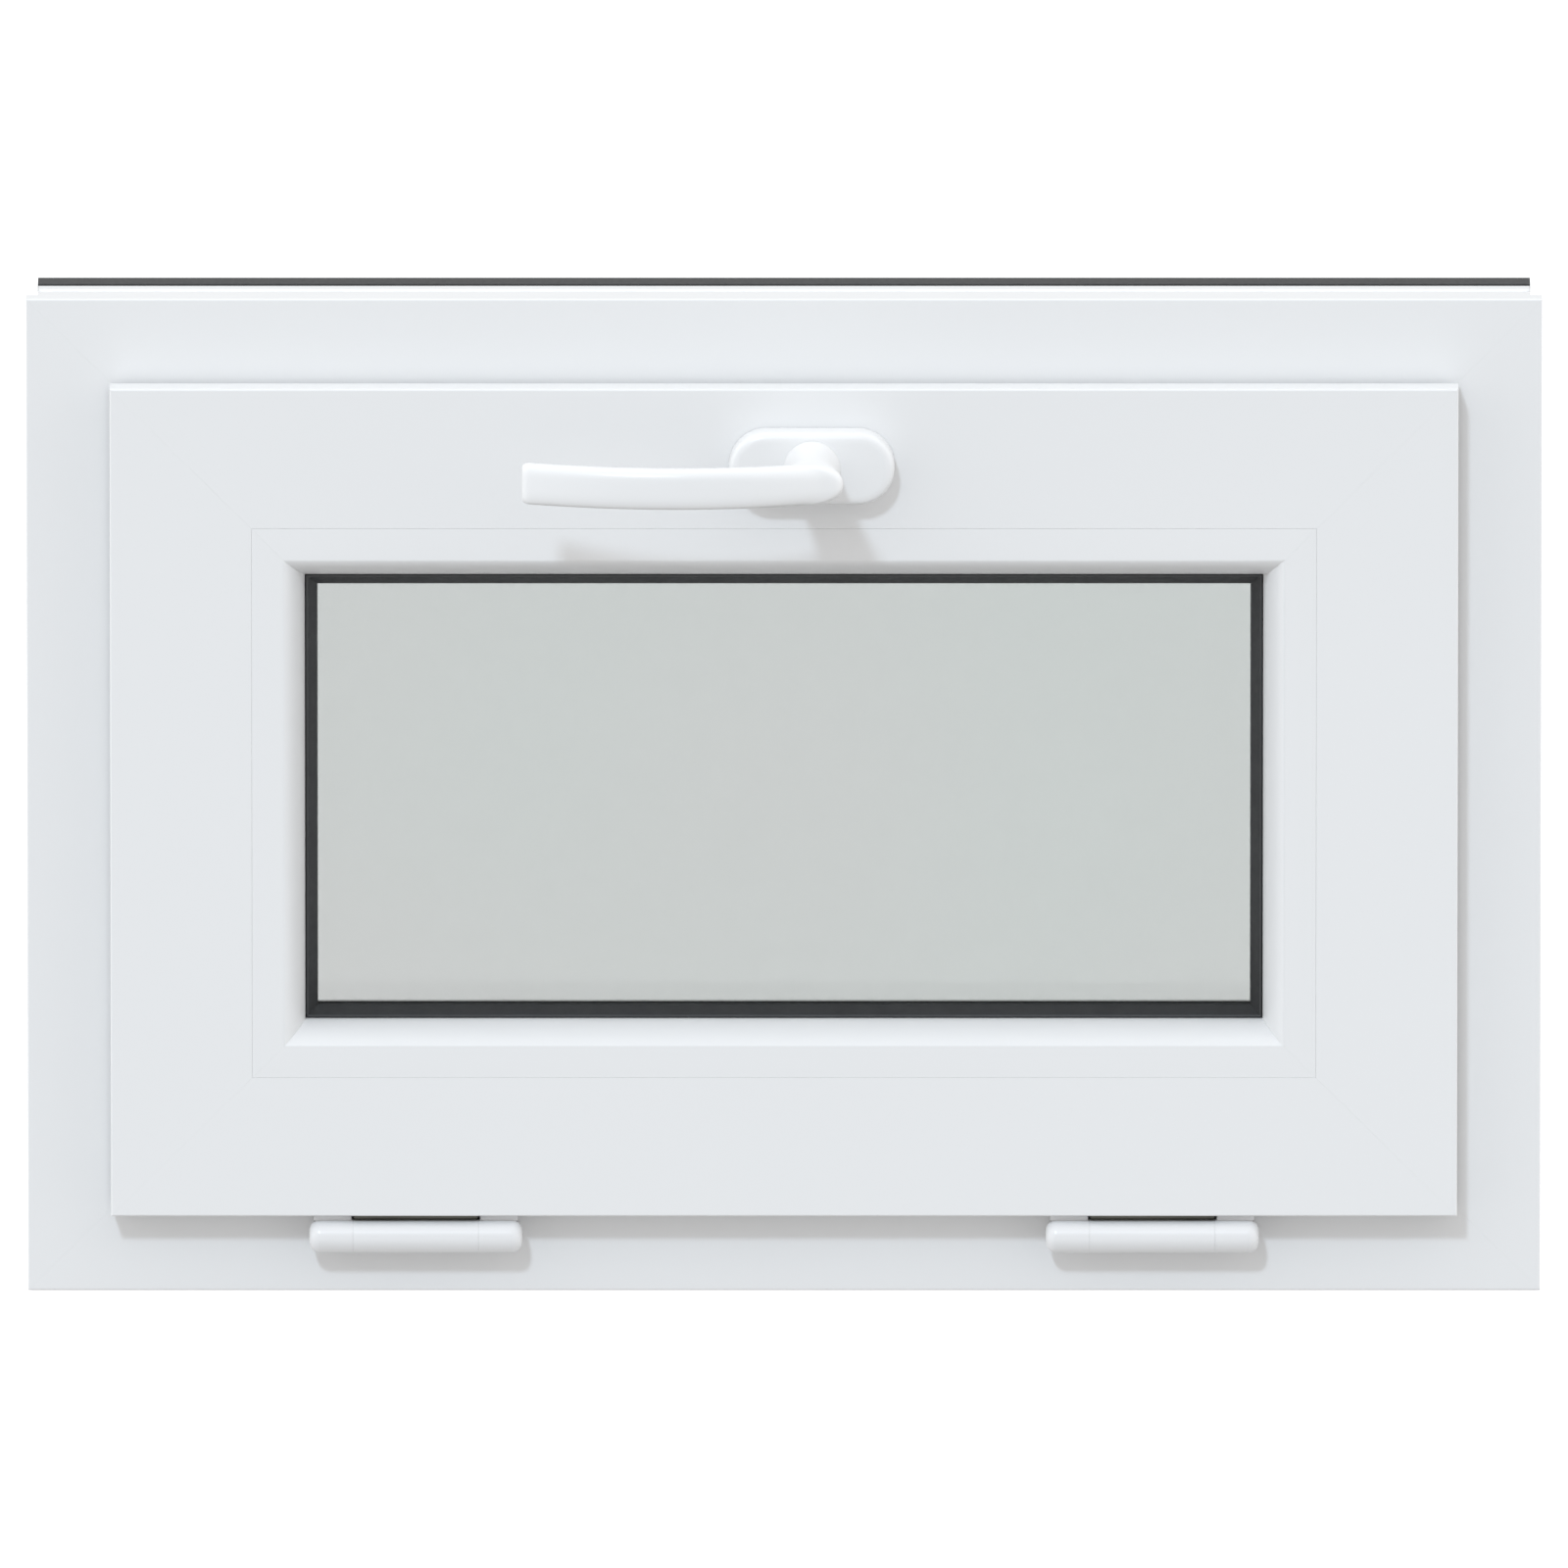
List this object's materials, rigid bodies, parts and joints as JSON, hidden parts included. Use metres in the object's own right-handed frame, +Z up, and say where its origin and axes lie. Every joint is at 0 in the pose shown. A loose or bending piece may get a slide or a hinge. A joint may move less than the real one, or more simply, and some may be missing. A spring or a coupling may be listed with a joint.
{
  "type": "tilt window",
  "caption": "Bottom-hung tilting window: white plastic frame and sash, double glazing, a turning lever handle on the top rail and barrel hinges along the bottom.",
  "frame": {"origin": "middle of the face that the window stands on, half way through the frame's depth", "axes": "+X to the right seen from the room, +Y from the room to the outside, +Z up"},
  "size_m": [0.6, 0.1655, 0.4],
  "materials": {
    "white_pvc": "smooth satin-gloss white PVC",
    "white_handle": "smooth white powder coat",
    "white_hinge": "glossy white moulded sleeve",
    "black_gasket": "matt black elastomer",
    "grey_seal": "matt dark grey expanding seal",
    "glass": "clear float glass",
    "spacer_aluminium": "mill finish",
    "zinc_steel": "zinc plated",
    "dark_steel": "dark passivated",
    "packer_plastic": "moulded matt"
  },
  "bodies": {
    "frame": {"drain_cap_left": "white_pvc", "drain_cap_right": "white_pvc", "frame_bottom_profile": "white_pvc", "frame_bottom_steel": "zinc_steel", "frame_gasket": "black_gasket", "frame_left_profile": "white_pvc", "frame_right_profile": "white_pvc", "frame_top_profile": "white_pvc", "frame_top_steel": "zinc_steel", "hinge_left_cap_left": "white_hinge", "hinge_left_cap_right": "white_hinge", "hinge_left_frame_leaf": "white_hinge", "hinge_left_pin": "zinc_steel", "hinge_right_cap_left": "white_hinge", "hinge_right_cap_right": "white_hinge", "hinge_right_frame_leaf": "white_hinge", "hinge_right_pin": "zinc_steel", "perimeter_seal": "grey_seal", "sill_strip": "white_pvc", "stay_bracket_left": "zinc_steel", "stay_bracket_right": "zinc_steel", "striker_left": "zinc_steel", "striker_right": "zinc_steel"},
    "sash": {"faceplate": "zinc_steel", "gearbox_housing": "zinc_steel", "glass_edge_seal": "black_gasket", "glass_spacer": "spacer_aluminium", "glazing_bead_bottom": "white_pvc", "glazing_bead_gasket": "black_gasket", "glazing_bead_left": "white_pvc", "glazing_bead_right": "white_pvc", "glazing_bead_top": "white_pvc", "glazing_packer_left": "packer_plastic", "glazing_packer_right": "packer_plastic", "handle_screw_left": "zinc_steel", "handle_screw_right": "zinc_steel", "hinge_left_sash_leaf": "dark_steel", "hinge_right_sash_leaf": "dark_steel", "inner_pane": "glass", "outer_glazing_gasket": "black_gasket", "outer_pane": "glass", "rosette_base": "packer_plastic", "rosette_cover": "white_handle", "sash_bottom_profile": "white_pvc", "sash_bottom_steel": "zinc_steel", "sash_gasket": "black_gasket", "sash_left_profile": "white_pvc", "sash_right_profile": "white_pvc", "sash_top_profile": "white_pvc", "sash_top_steel": "zinc_steel", "stay_track_left": "zinc_steel", "stay_track_right": "zinc_steel"},
    "handle": {"handle_lever": "white_handle", "handle_spindle": "zinc_steel", "drive_pinion": "zinc_steel"},
    "drive_rail": {"drive_rod": "zinc_steel", "locking_cam_left": "zinc_steel", "locking_cam_right": "zinc_steel"},
    "stay_arm_left": {"stay_arm_left": "zinc_steel"},
    "stay_arm_right": {"stay_arm_right": "zinc_steel"}
  },
  "joints": [
    {"name": "sash_tilt", "type": "hinge", "parent": "frame", "child": "sash", "pos_m": [0, -0.0455, 0.0241], "axis": [1, 0, 0], "range_deg": [0, 30]},
    {"name": "handle_turn", "type": "hinge", "parent": "sash", "child": "handle", "pos_m": [0.011, -0.0515, 0.3367], "axis": [0, -1, 0], "range_deg": [0, 90]},
    {"name": "rod_slide", "type": "slide", "parent": "sash", "child": "drive_rail", "axis": [-1, 0, 0], "range_m": [0, 0.0125]},
    {"name": "stay_left_turn", "type": "hinge", "parent": "frame", "child": "stay_arm_left", "pos_m": [-0.2518, -0.0245, 0.1441], "axis": [1, 0, 0], "range_deg": [0, 70]},
    {"name": "stay_right_turn", "type": "hinge", "parent": "frame", "child": "stay_arm_right", "pos_m": [0.2518, -0.0245, 0.1441], "axis": [1, 0, 0], "range_deg": [0, 70]}
  ],
  "couplings": [
    {"joint": "rod_slide", "follows": "handle_turn", "m_per_rad": 0.0079},
    {"joint": "stay_left_turn", "follows": "sash_tilt", "ratio": 2.304},
    {"joint": "stay_right_turn", "follows": "sash_tilt", "ratio": 2.304}
  ]
}
